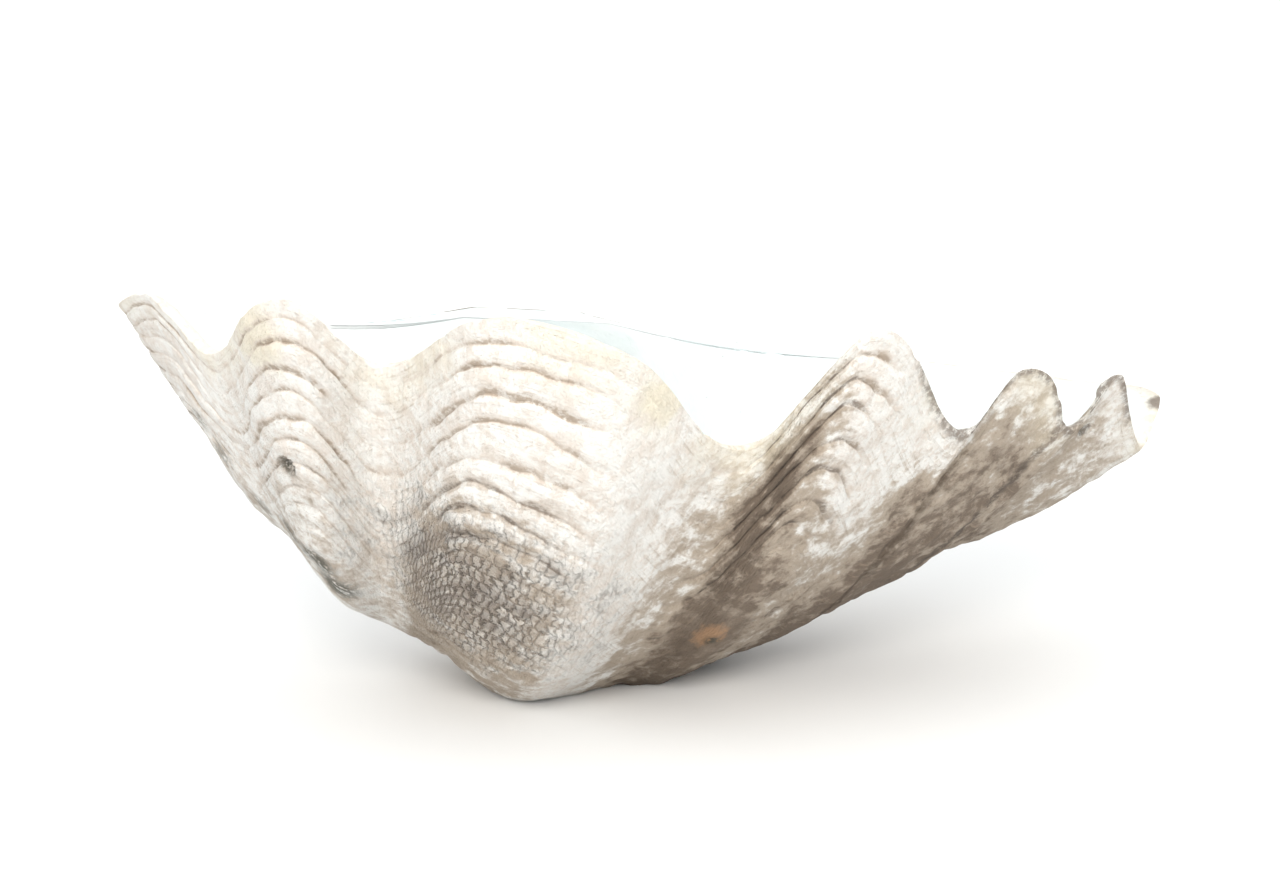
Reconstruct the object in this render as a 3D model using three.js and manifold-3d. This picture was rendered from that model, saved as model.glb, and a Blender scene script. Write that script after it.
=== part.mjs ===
// Half shell of a giant clam: one solid that grew as one piece.
// Millimetres, +Z up, X along the hinge, -Y towards the wavy free margin.
// Every growth line is a smaller copy of the rim, turned about the hinge, so the rim
// and one spiral give the whole outside. The inside follows it with softer folds.
import * as THREE from 'three';
import Module from 'manifold-3d';

// Rim of the outside, from the left end of the hinge round the front to the right end.
// x runs along the hinge from the beak, front is the distance before it, up the height,
// drive is how deep the spiral from there dives, breadth how round the rim is there,
// and lag how far the growth lines fall back: 0 on a fold, 1 in a valley.
const RIM = [
  { x: -255, front: 0, up: 0, drive: 20, breadth: 1.0, lag: 0.0 },
  { x: -300, front: 75, up: 10, drive: 300, breadth: 0.8, lag: 0.5 },
  { x: -285, front: 135, up: 25, drive: 450, breadth: 0.8, lag: 0.0 },
  { x: -250, front: 195, up: -5, drive: 470, breadth: 1.0, lag: 1.0 },
  { x: -222, front: 310, up: 45, drive: 610, breadth: 1.5, lag: 0.0 },
  { x: -160, front: 290, up: 5, drive: 620, breadth: 1.0, lag: 1.0 },
  { x: -120, front: 395, up: 50, drive: 690, breadth: 0.9, lag: 0.0 },
  { x: -40, front: 420, up: 35, drive: 770, breadth: 0.9, lag: 0.1 },
  { x: 65, front: 340, up: -30, drive: 700, breadth: 1.0, lag: 1.0 },
  { x: 125, front: 385, up: 55, drive: 770, breadth: 1.0, lag: 0.0 },
  { x: 230, front: 310, up: -20, drive: 640, breadth: 0.9, lag: 1.0 },
  { x: 262, front: 330, up: 28, drive: 655, breadth: 1.7, lag: 0.0 },
  { x: 330, front: 280, up: -20, drive: 535, breadth: 1.0, lag: 1.0 },
  { x: 355, front: 285, up: 15, drive: 530, breadth: 0.8, lag: 0.0 },
  { x: 425, front: 220, up: -40, drive: 410, breadth: 0.8, lag: 1.0 },
  { x: 455, front: 190, up: -5, drive: 365, breadth: 0.8, lag: 0.0 },
  { x: 450, front: 90, up: -10, drive: 200, breadth: 0.8, lag: 0.3 },
  { x: 340, front: 0, up: -10, drive: 20, breadth: 1.0, lag: 0.0 },
];

// Spiral: its growth for each radian, how slowly widths shrink, how far raised folds
// swing forward as they turn, the beak's rise, and the growth lines' fall in a valley.
const SPIRAL = 0.93;
const WIDTH_POWER = 0.72;
const FOLD_SWING = 0.5;
const BEAK_RISE = 18;
const LAG = 0.37;
const FOLDS_WHOLE = 0.4; // stage from which the folds are whole, worn away towards the beak

// Growth ledges: each layer flares to a lip and the next one starts from under it.
const LEDGE_COUNT = 13;
const LEDGE_START = 0.4;
const LEDGE_FLARE = 0.16; // how far a lip stands out, as a share of its layer's height
const LEDGE_STEP = 0.2; // share of a layer taken by the step behind its lip
const VALLEY_EASE = 1; // how much less a lip stands out in a valley
const LAYER = (1 - LEDGE_START) / LEDGE_COUNT;

// Wall: at the rim, as a share of the drive at the floor, at the sides, at the hinge.
const RIM_WALL = 10;
const FLOOR_SHARE = 0.11;
const SIDE_SHARE = 0.1;
const HINGE_PLATE = 50;

// Softer folds inside: the reach of their rounding at the edge and just below it, in
// stations, the reach that takes a fold away, and how much is gone deep in the bowl.
const EDGE_REACH = 0.1;
const LIP_REACH = 0.45;
const LIP_START = 0.8; // stage from which the rounding lessens towards the edge
const FOLD_REACH = 1;
const BOWL_SOFTENING = 0.75;

// How the shell leans as it lies, and how much its underside is worn flat.
const LEAN_SIDE = THREE.MathUtils.degToRad(4.8);
const LEAN_FRONT = THREE.MathUtils.degToRad(1.5);
const FOOT_CUT = 15;

// Growth stages that get a row of points, as shares of the full size, and columns.
const BEAK_STAGES = [0.06, 0.1, 0.15, 0.21, 0.28, 0.34];
const INNER_STAGES = [0.12, 0.17, 0.24, 0.32, 0.41, 0.5, 0.59, 0.68, 0.77, 0.85, 0.92, 0.97, 1];
const COLUMNS_PER_STRETCH = 6;
const STRETCHES = RIM.length - 1;
const COLUMNS = STRETCHES * COLUMNS_PER_STRETCH;

const STEP = 0.01; // small step for working out directions on the surface
const SHELL_COLOUR = 0xe4dccf;
const CHANNELS = ['x', 'front', 'up', 'drive', 'lag'];

// Plan distance from a station to the next one.
function chord(i) {
  return Math.hypot(RIM[i + 1].x - RIM[i].x, RIM[i + 1].front - RIM[i].front);
}

// Change of one channel over the given length as the rim passes a station, along the
// line through its two neighbours.
function slope(i, channel, length) {
  const before = Math.max(i - 1, 0);
  const after = Math.min(i + 1, STRETCHES);
  const span = (before < i ? chord(before) : 0) + (after > i ? chord(i) : 0);
  const change = RIM[after][channel] - RIM[before][channel];
  return (change / span) * length * RIM[i].breadth;
}

// Rim values at u, which counts stations from the left end of the hinge.
function rimAt(u) {
  const place = THREE.MathUtils.clamp(u, 0, STRETCHES);
  const i = Math.min(Math.floor(place), STRETCHES - 1);
  const t = place - i;
  const length = chord(i);
  const values = {};
  for (const channel of CHANNELS) {
    const start = RIM[i][channel] * (2 * t ** 3 - 3 * t ** 2 + 1);
    const leave = slope(i, channel, length) * (t ** 3 - 2 * t ** 2 + t);
    const end = RIM[i + 1][channel] * (3 * t ** 2 - 2 * t ** 3);
    const arrive = slope(i + 1, channel, length) * (t ** 3 - t ** 2);
    values[channel] = start + leave + end + arrive;
  }
  return values;
}

// Rim averaged over the stations within reach, which rounds its folds off.
function softRimAt(u, reach) {
  const steps = 8;
  const room = Math.max(Math.min(reach, u, STRETCHES - u), 0);
  const sum = { x: 0, front: 0, up: 0, drive: 0, lag: 0 };
  for (let k = 0; k < steps; k += 1) {
    const values = rimAt(u + room * ((2 * k + 1) / steps - 1));
    for (const channel of CHANNELS) sum[channel] += values[channel] / steps;
  }
  return sum;
}

function blendRims(one, other, share) {
  const blend = (channel) => THREE.MathUtils.lerp(one[channel], other[channel], share);
  return Object.fromEntries(CHANNELS.map((channel) => [channel, blend(channel)]));
}

// Point of the growth line at size s that grew from the given rim values.
function grow(rim, s) {
  const turn = Math.log(1 / s) / SPIRAL;
  return new THREE.Vector3(
    rim.x * s ** WIDTH_POWER,
    -s * (rim.front * Math.cos(turn) + FOLD_SWING * rim.up * Math.sin(turn)),
    s * (rim.up * Math.cos(turn) - rim.drive * Math.sin(turn)) + BEAK_RISE * (1 - s) ** 4,
  );
}

// Size that a growth line has reached at a stage, less in a valley.
function sizeAt(rim, stage) {
  return stage - LAG * rim.lag * stage ** 2 * (1 - stage);
}

function outside(u, stage) {
  const foldShare = Math.min(stage / FOLDS_WHOLE, 1);
  const rim = blendRims(softRimAt(u, FOLD_REACH), rimAt(u), foldShare);
  return grow(rim, sizeAt(rim, stage));
}

function outward(u, stage) {
  const across = outside(u + STEP, stage).sub(outside(u - STEP, stage));
  const along = outside(u, Math.min(stage + STEP, 1)).sub(outside(u, stage - STEP));
  return across.cross(along).normalize();
}

// Rows of growth stages from beak to rim, and whether a row is the lip of its layer.
function outerStages() {
  const rows = BEAK_STAGES.map((stage) => ({ stage, isLip: false }));
  for (let k = 0; k < LEDGE_COUNT; k += 1) {
    const start = LEDGE_START + k * LAYER;
    rows.push({ stage: start + LEDGE_STEP * LAYER, isLip: false });
    rows.push({ stage: start + LAYER, isLip: true });
  }
  return rows;
}

function outerPoint(u, { stage, isLip }) {
  const point = outside(u, stage);
  if (!isLip) return point;
  const height = point.distanceTo(outside(u, stage - LAYER));
  const share = Math.min(u, STRETCHES - u, 1) * (1 - VALLEY_EASE * rimAt(u).lag);
  return point.addScaledVector(outward(u, stage), LEDGE_FLARE * height * share);
}

// The inside: the rim moved in by its wall, softer folds, a thicker floor and hinge.
function innerPoint(u, stage) {
  const nearness = THREE.MathUtils.smoothstep(stage, LIP_START, 1) * rimAt(u).lag ** 2;
  const reach = THREE.MathUtils.lerp(LIP_REACH, EDGE_REACH, nearness);
  const foldless = softRimAt(u, FOLD_REACH);
  const rim = blendRims(softRimAt(u, reach), foldless, BOWL_SOFTENING * (1 - stage));
  const before = softRimAt(u - STEP, reach);
  const after = softRimAt(u + STEP, reach);
  const across = new THREE.Vector2(after.x - before.x, after.front - before.front).normalize();
  rim.x += across.y * RIM_WALL;
  rim.front -= across.x * RIM_WALL;
  rim.x *= 1 - SIDE_SHARE * (1 - stage);
  rim.drive *= 1 - FLOOR_SHARE;
  const point = grow(rim, sizeAt(rim, stage));
  point.y -= HINGE_PLATE * (1 - stage) ** 3;
  return point;
}

// Closed skin of the shell as points and triangles.
function shellSkin() {
  const points = [];
  const triangles = [];
  const addPoint = (point) => points.push(point) - 1;
  const gap = (a, b) => points[a].distanceTo(points[b]);
  const addQuad = (a, b, c, d) => {
    const split = gap(a, c) < gap(b, d) ? [[a, b, c], [a, c, d]] : [[a, b, d], [b, c, d]];
    triangles.push(...split);
  };
  const columns = Array.from({ length: COLUMNS + 1 }, (_, c) => c / COLUMNS_PER_STRETCH);

  const outer = outerStages().map((row) => columns.map((u) => addPoint(outerPoint(u, row))));
  const inner = INNER_STAGES.map((stage) => columns.map((u) => addPoint(innerPoint(u, stage))));
  const between = (row) => points[row[0]].clone().lerp(points[row[COLUMNS]], 0.5);
  const outerPole = addPoint(between(outer[0]));
  const innerPole = addPoint(between(inner[0]));
  const outerRim = outer[outer.length - 1];
  const innerRim = inner[inner.length - 1];

  for (let c = 0; c < COLUMNS; c += 1) {
    for (let r = 0; r < outer.length - 1; r += 1) {
      addQuad(outer[r][c], outer[r][c + 1], outer[r + 1][c + 1], outer[r + 1][c]);
    }
    for (let r = 0; r < inner.length - 1; r += 1) {
      addQuad(inner[r][c], inner[r + 1][c], inner[r + 1][c + 1], inner[r][c + 1]);
    }
    triangles.push([outerPole, outer[0][c + 1], outer[0][c]]);
    triangles.push([innerPole, inner[0][c], inner[0][c + 1]]);
    addQuad(outerRim[c], outerRim[c + 1], innerRim[c + 1], innerRim[c]);
  }

  // Top of the hinge plate, between the outer and inner edges along the hinge.
  const edge = (rows, pole) => [
    ...rows.map((row) => row[0]).reverse(),
    pole,
    ...rows.map((row) => row[COLUMNS]),
  ];
  const back = edge(outer, outerPole);
  const front = edge(inner, innerPole);
  let i = 0;
  let j = 0;
  while (i < back.length - 1 || j < front.length - 1) {
    const backNext = i < back.length - 1 ? points[back[i + 1]].x : Infinity;
    const frontNext = j < front.length - 1 ? points[front[j + 1]].x : Infinity;
    if (backNext < frontNext) {
      triangles.push([front[j], back[i + 1], back[i]]);
      i += 1;
    } else {
      triangles.push([front[j], front[j + 1], back[i]]);
      j += 1;
    }
  }
  return { points, triangles };
}

const wasm = await Module();
wasm.setup();

function toSolid(points, triangles) {
  return new wasm.Manifold(new wasm.Mesh({
    numProp: 3,
    vertProperties: Float32Array.from(points.flatMap((p) => [p.x, p.y, p.z])),
    triVerts: Uint32Array.from(triangles.flat()),
  }));
}

function toGeometry(solid) {
  const mesh = solid.getMesh();
  const geometry = new THREE.BufferGeometry();
  geometry.setAttribute('position', new THREE.BufferAttribute(mesh.vertProperties, 3));
  geometry.setIndex(new THREE.BufferAttribute(mesh.triVerts, 1));
  return geometry;
}

// A flat block whose top is at the given height, wide enough to go under the shell.
function groundBlock(top) {
  const width = 1200;
  const depth = 100;
  const box = new THREE.BoxGeometry(width, width, depth).translate(0, 0, top - depth / 2);
  const corners = [];
  const places = box.attributes.position;
  const indexOf = new Map();
  const vertexOf = [];
  for (let v = 0; v < places.count; v += 1) {
    const corner = new THREE.Vector3().fromBufferAttribute(places, v);
    const key = corner.toArray().join();
    if (!indexOf.has(key)) indexOf.set(key, corners.push(corner) - 1);
    vertexOf.push(indexOf.get(key));
  }
  const faces = [];
  for (let k = 0; k < box.index.count; k += 3) {
    faces.push([0, 1, 2].map((n) => vertexOf[box.index.getX(k + n)]));
  }
  return toSolid(corners, faces);
}

function halfShell() {
  const { points, triangles } = shellSkin();
  const lean = new THREE.Matrix4().makeRotationY(LEAN_SIDE);
  lean.multiply(new THREE.Matrix4().makeRotationX(LEAN_FRONT));
  points.forEach((point) => point.applyMatrix4(lean));
  const lowest = Math.min(...points.map((point) => point.z));
  const ground = groundBlock(lowest + FOOT_CUT);
  const geometry = toGeometry(toSolid(points, triangles).subtract(ground));
  geometry.computeBoundingBox();
  const { min, max } = geometry.boundingBox;
  geometry.translate(-(min.x + max.x) / 2, -(min.y + max.y) / 2, -min.z);
  geometry.computeVertexNormals();
  const material = new THREE.MeshStandardMaterial({
    color: SHELL_COLOUR,
    roughness: 0.75,
    metalness: 0,
  });
  const mesh = new THREE.Mesh(geometry, material);
  mesh.name = 'half_shell';
  return mesh;
}

const part = new THREE.Group();
part.add(halfShell());

export default part;
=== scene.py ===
"""Looks of a giant clam's half shell: a worn, chalky outside with growth ledges, a smooth white bowl.

Metres, +Z up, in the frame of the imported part. The shell is one grown piece. It starts as a flat
map of its growth, along the rim one way and from the beak over the rim into the bowl the other way,
and every point of the map goes where the shell's growth puts it.
"""
import math

import bpy
import numpy as np
from mathutils import Matrix, Vector, noise


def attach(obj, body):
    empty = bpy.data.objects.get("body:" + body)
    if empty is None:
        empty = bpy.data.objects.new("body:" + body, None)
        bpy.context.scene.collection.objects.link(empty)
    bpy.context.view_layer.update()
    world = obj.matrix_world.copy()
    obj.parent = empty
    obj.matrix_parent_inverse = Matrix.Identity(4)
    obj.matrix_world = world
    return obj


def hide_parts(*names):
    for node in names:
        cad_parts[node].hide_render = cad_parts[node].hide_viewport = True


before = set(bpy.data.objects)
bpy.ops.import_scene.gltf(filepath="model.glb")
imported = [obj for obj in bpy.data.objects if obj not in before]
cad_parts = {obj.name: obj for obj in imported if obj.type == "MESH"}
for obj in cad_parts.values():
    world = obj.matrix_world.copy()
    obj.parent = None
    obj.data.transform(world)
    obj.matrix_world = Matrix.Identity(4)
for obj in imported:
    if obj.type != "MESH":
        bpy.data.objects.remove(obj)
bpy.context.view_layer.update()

MM = 0.001
STEP = 0.01  # a small step on the map, to find directions

# Rim of the outside in mm, from the left end of the hinge round the front to the right end: x along
# the hinge, front, up, drive of the spiral below it, roundness of the rim there, and lag of the
# growth lines, 0 on a fold and 1 in a valley.
RIM = (
    (-255, 0, 0, 20, 1.0, 0.0),
    (-300, 75, 10, 300, 0.8, 0.5),
    (-285, 135, 25, 450, 0.8, 0.0),
    (-250, 195, -5, 470, 1.0, 1.0),
    (-222, 310, 45, 610, 1.5, 0.0),
    (-160, 290, 5, 620, 1.0, 1.0),
    (-120, 395, 50, 690, 0.9, 0.0),
    (-40, 420, 35, 770, 0.9, 0.1),
    (65, 340, -30, 700, 1.0, 1.0),
    (125, 385, 55, 770, 1.0, 0.0),
    (230, 310, -20, 640, 0.9, 1.0),
    (262, 330, 28, 655, 1.7, 0.0),
    (330, 280, -20, 535, 1.0, 1.0),
    (355, 285, 15, 530, 0.8, 0.0),
    (425, 220, -40, 410, 0.8, 1.0),
    (455, 190, -5, 365, 0.8, 0.0),
    (450, 90, -10, 200, 0.8, 0.3),
    (340, 0, -10, 20, 1.0, 0.0),
)
STRETCHES = len(RIM) - 1
X, FRONT, UP, DRIVE, LAG_SHARE = range(5)

# Growth of the whole shell, the same as the solid's.
SPIRAL = 0.93
WIDTH_POWER = 0.72
FOLD_SWING = 0.5
BEAK_RISE = 18
LAG = 0.37
FOLDS_WHOLE = 0.4
RIM_WALL = 10
FLOOR_SHARE = 0.11
SIDE_SHARE = 0.1
HINGE_PLATE = 50
EDGE_REACH = 0.1
LIP_REACH = 0.45
LIP_START = 0.8
FOLD_REACH = 1
SOFTENING_STEPS = 8
BOWL_SOFTENING = 0.75
LEAN_SIDE = math.radians(4.8)
LEAN_FRONT = math.radians(1.5)
BEAK = (-79.16, 198.26, 241.90)  # place of the beak in the part's frame, mm

# Growth ledges: the sizes at which a layer ended in a lip, and how far the lips stand out.
FIRST_LAYER = 0.25
LIPS = (
    0.29, 0.335, 0.375, 0.41, 0.445, 0.475, 0.505, 0.53, 0.56, 0.585, 0.61, 0.64, 0.665,
    0.69, 0.72, 0.745, 0.77, 0.80, 0.828, 0.853, 0.882, 0.911, 0.936, 0.961, 0.982, 1.0,
)
LIP_FLARE = 0.11  # this and the next two are shares of the layer's height
LIP_WANDER = 0.2
LIP_FRILL = 0.1
LIP_POLISH = 0.6  # dirt rubbed off where a lip stands out
VALLEY_EASE = 0.65  # how much lower lips are in a valley
END_FADE = 0.25  # stations at each end over which lips and lumps die out

# Layers from the foot to the lip: share of the layer, lift and dirt, which also sets the painted
# shade around the dirt.
LAYER = (
    (0.05, 0.0, 0.9), (0.13, 0.2, 1.0), (0.26, 0.5, 0.6),
    (0.5, 0.85, 0.25), (0.82, 1.0, 0.0), (1.0, 0.65, 0.3),
)
WORN_LAYER = ((0.06, 0.1, 0.8), (0.3, 0.6, 0.4), (0.65, 1.0, 0.0), (1.0, 0.6, 0.3))
WORN_BELOW = 0.7  # size up to which layers are worn
DIRT_IN_VALLEYS = 0.3

# How much of a lip is left, by size and by station, and by size to the right of a station.
LIP_WEAR_BY_SIZE = ((0.3, 0.1), (0.7, 0.25), (0.76, 0.45), (0.8, 0.75), (0.84, 1.0), (1.0, 1.0))
LIP_WEAR_BY_STATION = (
    (0.0, 0.9), (1.5, 1.2), (3.9, 1.1), (4.4, 0.95), (5.0, 0.9), (5.4, 0.95), (5.8, 1.2),
    (6.5, 1.15), (6.95, 0.6), (7.2, 0.2), (7.5, 0.2), (7.8, 1.0), (8.1, 1.2), (8.35, 1.2),
    (8.8, 1.3), (9.15, 1.2), (9.4, 0.7), (9.7, 0.15), (10.0, 0.25), (17.0, 0.4),
)
RIGHT_WEAR_BY_SIZE = ((0.82, 0.35), (0.89, 1.0))
RIGHT_FROM = 8
RIGHT_FADE = 0.4

# Chance along the rim: length of a wave in mm, and the step and start of the layers' chance rows.
LIP_WAVES = (55, 9.1, 0)
LIP_FRILLS = (13, 4.3, 1)
LIP_BREAKS = (60, 5.3, 2)
LIP_CRUMBS = (22, 3.1, 8)
DIRT_DASHES = (15, 7.7, 0)
RIM_CHIPS = (22, 0, 0)
CHANCE_PLANE = 3.7
CHANCE_SPREAD = 1.6  # brings chance to about -1 to 1
LIP_MEAN = 0.95
LIP_CHANCE = 0.3
LIP_LIMITS = (0.05, 1.3)
DASH_MEAN = 0.9
DASH_CHANCE = 0.5
DASH_LIMITS = (0.3, 1.3)

# Stain of the outside by station, at the rim, near it and further down: 0 is bleached, 1 brown.
# Further down it also paints shade, so the outside is darker towards the bottom.
STAIN_AT_RIM = (
    (0.0, 0.2), (2.0, 0.04), (5.0, 0.02), (5.5, 0.15), (6.0, 0.08), (7.4, 0.0), (7.9, 0.3),
    (8.4, 0.6), (8.75, 0.35), (9.1, 0.06), (9.65, 0.05), (10.1, 0.3), (10.6, 0.45), (11.0, 0.3),
    (11.6, 0.5), (12.0, 0.5), (12.6, 0.45), (13.0, 0.2), (14.0, 0.3), (15.0, 0.3), (17.0, 0.35),
)
STAIN_NEAR_RIM = (
    (0.0, 0.2), (2.0, 0.04), (5.0, 0.02), (5.5, 0.15), (6.0, 0.08), (7.4, 0.0), (7.75, 0.42),
    (7.95, 0.65), (8.1, 0.85), (8.4, 1.15), (8.7, 1.2), (8.9, 0.65), (9.1, 0.25), (9.3, 0.12),
    (9.55, 0.2), (9.75, 0.6), (9.95, 1.05), (10.3, 1.1), (11.0, 0.75), (11.5, 0.9), (12.0, 1.0),
    (12.6, 1.0), (13.0, 0.65), (13.5, 0.5), (15.0, 0.4), (17.0, 0.35),
)
STAIN_AND_SHADE_BELOW = (
    (0.0, 0.25), (4.0, 0.36), (4.5, 0.24), (5.2, 0.35), (5.4, 0.75), (6.0, 0.75), (6.85, 0.55),
    (7.15, 0.1), (7.4, 0.12), (7.7, 0.5), (7.95, 0.85), (8.3, 1.1), (8.8, 1.15), (9.15, 1.0),
    (9.4, 0.65), (9.65, 0.95), (9.9, 1.15), (10.4, 1.2), (12.0, 1.1), (14.0, 0.75), (17.0, 0.45),
)
NEAR_RIM_SIZES = (0.76, 0.92)
AT_RIM_SIZES = (0.93, 0.985)
# Painted shade: faces that look down, on the left and right folds, are stained darker.
UNDERSIDE_SHADE = 0.28
UNDERSIDE_LOOK = 0.72  # how far down a face looks where the underside's painted shade starts
UNDERSIDE_FADE = 0.2
LEFT_UNDERSIDE = (1, 4.2)  # stations
RIGHT_UNDERSIDE = (8.2, 16)

# Rows of the map before the ledges, over the rim and down the bowl.
CAP_SHARES = (0.0, 0.35, 0.7)
BEAK_SIZES = (0.06, 0.07, 0.082, 0.095, 0.11, 0.128, 0.148, 0.17, 0.195, 0.222)
EDGE_SHARES = (0.12, 0.35, 0.65, 0.88)
EDGE_ROUND = 2.5
BOWL_ROWS = 36
BOWL_DEPTH = 0.88
BOWL_CROWDING = 1.15
BOWL_SIZES = tuple(1 - BOWL_DEPTH * (k / BOWL_ROWS) ** BOWL_CROWDING for k in range(BOWL_ROWS + 1))
BOWL_END_SHARES = (0.6, 0.25, 0.0)
BOWL_END_SIZE = 0.1
COLUMNS = 480
FINE_COLUMNS = 3000

# Wear: broad lumps and small ones, as breadth and height in mm, and chips of the rim in mm.
BROAD_LUMP = (45, 1.3)
SMALL_LUMP = (11, 0.8)
CLEAN_LUMPS = 0.5  # share of the small lumps on a bleached outside
LUMPS_WHOLE = 0.2  # size from which lumps have their full height
RIM_CHIP = 3.0
CHIP_START = 0.35

# Small pits as station, size, radius and depth in mm, the dirt in them, and painted shade in valleys.
PITS = ((3.85, 0.826, 9, 6), (6.05, 0.955, 7, 2), (13.22, 0.942, 7, 3.5), (9.4, 0.74, 9, 3))
PIT_DIRT_DEPTH = 1.5
PIT_DIRT_MOST = 2
VALLEY_SHADE = ((10.15, 0.11, 0.75), (11.75, 0.12, 0.9))  # station, reach in stations and amount
VALLEY_SHADE_SIZES = (0.6, 0.8)

# Tips drawn out: station, reach in stations, rise and shift to the right in mm. The lift comes in
# over the fade, in sizes, and starts at that many fades.
TIP_LIFTS = ((13.0, 0.3, 8, 3),)
TIP_FADE = 0.14
TIP_START = 6.14

# Hinge: its rows from the bowl back, and its teeth as x, depth share, length, breadth and height.
PLATE_ROWS = 14
TEETH = (
    (35, 0.45, 22, 0.16, 7),
    (75, 0.5, 16, 0.12, -4),
    (190, 0.55, 70, 0.2, 5),
    (-60, 0.75, 90, 0.08, -4),
)
TEETH_AT_FRONT = 4  # how steeply teeth come in behind the front line, and before the back line
TEETH_AT_BACK = 8
PLATE_SIZE = (0.8, 0.1)  # size noted at the front of the plate, and what its back adds
PLATE_FOLD = 0.5
LIGAMENT_BAND = (4, 2.6)  # steepness and start of its dashes towards the back
LIGAMENT_SIDE = (0.5, 40)  # start of its dashes to the left, and their fade in mm
HINGE_EDGE = 0.15  # stations of the outside along the hinge that are as white as its top
HINGE_WHITE = 0.9
MERGE_DISTANCE = 0.00001
SMOOTH_ANGLE = math.radians(50)

# Colours.
CHALK = (0.92, 0.90, 0.86, 1)
BEIGE = (0.47, 0.39, 0.31, 1)
BEAD = (0.72, 0.68, 0.63, 1)
PINKISH = (0.73, 0.64, 0.56, 1)
LINE = (0.42, 0.33, 0.25, 1)
SLATE = (0.36, 0.46, 0.48, 1)
CREAM = (0.83, 0.74, 0.55, 1)
GREY = (0.36, 0.33, 0.30, 1)
BROWN = (0.20, 0.15, 0.11, 1)
GROOVE = (0.20, 0.16, 0.13, 1)
CREVICE = (0.085, 0.065, 0.05, 1)
RUST = (0.42, 0.25, 0.14, 1)
DARK_MOSS = (0.075, 0.075, 0.055, 1)
EDGE_WHITE = (0.88, 0.85, 0.79, 1)
INSIDE_WHITE = (0.765, 0.783, 0.778, 1)
# Painted shade: the bowl's cool blue-grey stands for sky-lit shade.
INSIDE_PAINTED_COOL_SHADE = (0.675, 0.743, 0.745, 1)
INSIDE_WARM = (0.72, 0.70, 0.63, 1)

# Spots: places and radii in metres, and strengths.
GREY_FOLD = (-0.174, -0.068, 0.105)
GREY_FOLD_RADIUS = 0.11
GREY_FOLD_CORE = 0.85
SCAR = (-0.007, -0.046, 0.054)
SCAR_RINGS = ((0.04, 0.85, BROWN), (0.016, 0.9, RUST))
YELLOW_SPOTS = (((-0.09, -0.2, 0.242), 0.028), ((-0.312, -0.08, 0.273), 0.035))
YELLOW_SPOT_STRENGTH = 0.6
# A spot of painted shade on the edge of the right end.
END_SHADE = (0.370, 0.003, 0.190)
END_SHADE_RADIUS = 0.011
END_SHADE_STRENGTH = 0.9
MUSCLE_SCAR = (-0.01, 0.10, 0.06)
MUSCLE_SCAR_RADIUS = 0.05
MUSCLE_SCAR_STRENGTH = 0.5
SPOT_CORE = 1.15  # these three are in radii
SPOT_REACH = 1.8
SPOT_RAGGED = 1.6

# Dark spots as station, size, radius in metres and strength, and stations of a rim edge darkened as
# painted shade.
DARK_SPOTS = (
    (2.1, 0.823, 0.012, 0.45), (2.4, 0.805, 0.015, 0.45), (2.95, 0.784, 0.016, 0.5),
    (3.53, 0.727, 0.018, 0.6), (3.91, 0.672, 0.022, 0.9), (4.04, 0.619, 0.024, 0.9),
    (3.85, 0.826, 0.011, 0.9), (8.95, 0.675, 0.008, 0.9), (13.22, 0.942, 0.007, 0.9),
)
DARK_RIM = (9.3, 9.45, 13.4, 13.7)  # where its painted shade starts, is whole, last is whole and ends

# Chance patterns of the finishes: scale, detail and roughness.
BROAD = (9, 4, 0.6)
BLOTCH = (60, 5, 0.65)
MOTTLE = (150, 6, 0.7)
GRAIN = (480, 3, 0.6)
BOWL_BROAD = (7, 3, 0.6)
BOWL_DENTS = (90, 3, 0.6)
BOWL_SPECKS = (120, 2, 0.6)

# Chance patterns that follow the growth: scales along the rim and up the growth, then the same.
GROWTH_LINES = (16, 190, 6, 0.7)
RIBLETS = (150, 14, 4, 0.6)
BANDS = (8, 48, 3, 0.6)
BOWL_RINGS = (4, 45, 4, 0.6)

# Marks of the outside: where each starts and is whole, on its pattern or on what it goes by. Four
# numbers also give its strength at both ends.
UNEVEN_START = -1.6
UNEVEN_BY_BLOTCH = 2.1
UNEVEN_BY_MOTTLE = 0.9
UNEVEN_BY_LINES = 0.2
UNEVEN_BY_STAIN = (0.0, 0.6, 0.3, 0.95)
PALE_LIPS = (0.0, -0.5, 0.0, 0.24)
PINK_PATCHES = (0.43, 0.63, 0.0, 0.5)
FLECKS = (0.5, 0.62)
FLECKS_BY_STAIN = (0.0, 0.1, 0.3, 0.6)
STREAKS = (0.48, 0.62, 0.0, 0.4)
STREAK_PATCHES = (0.4, 0.6)
BEIGE_STAIN_AND_SHADE = (0.15, 0.7)
BROWN_STAIN_AND_SHADE = (0.7, 1.2)
THIN_LINES = (0.53, 0.64)
THIN_LINE_PATCHES = (0.38, 0.55, 0.3, 1.0)
THIN_LINES_BY_FOLD = (0.2, 0.8, 0.5, 0.3)
THIN_LINES_BY_STAIN = (0.0, 0.1, 0.25, 1.0)
YELLOW_RIM = (0.94, 1.0, 0.0, 0.4)
YELLOW_PATCHES = (0.42, 0.6)
MOSS_PATCHES = (0.38, 0.52)
RIM_EDGE_SHADE = (0.989, 0.998)
RIM_EDGE_SHADE_PATCHES = (0.4, 0.56, 0.15, 0.8)

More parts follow.
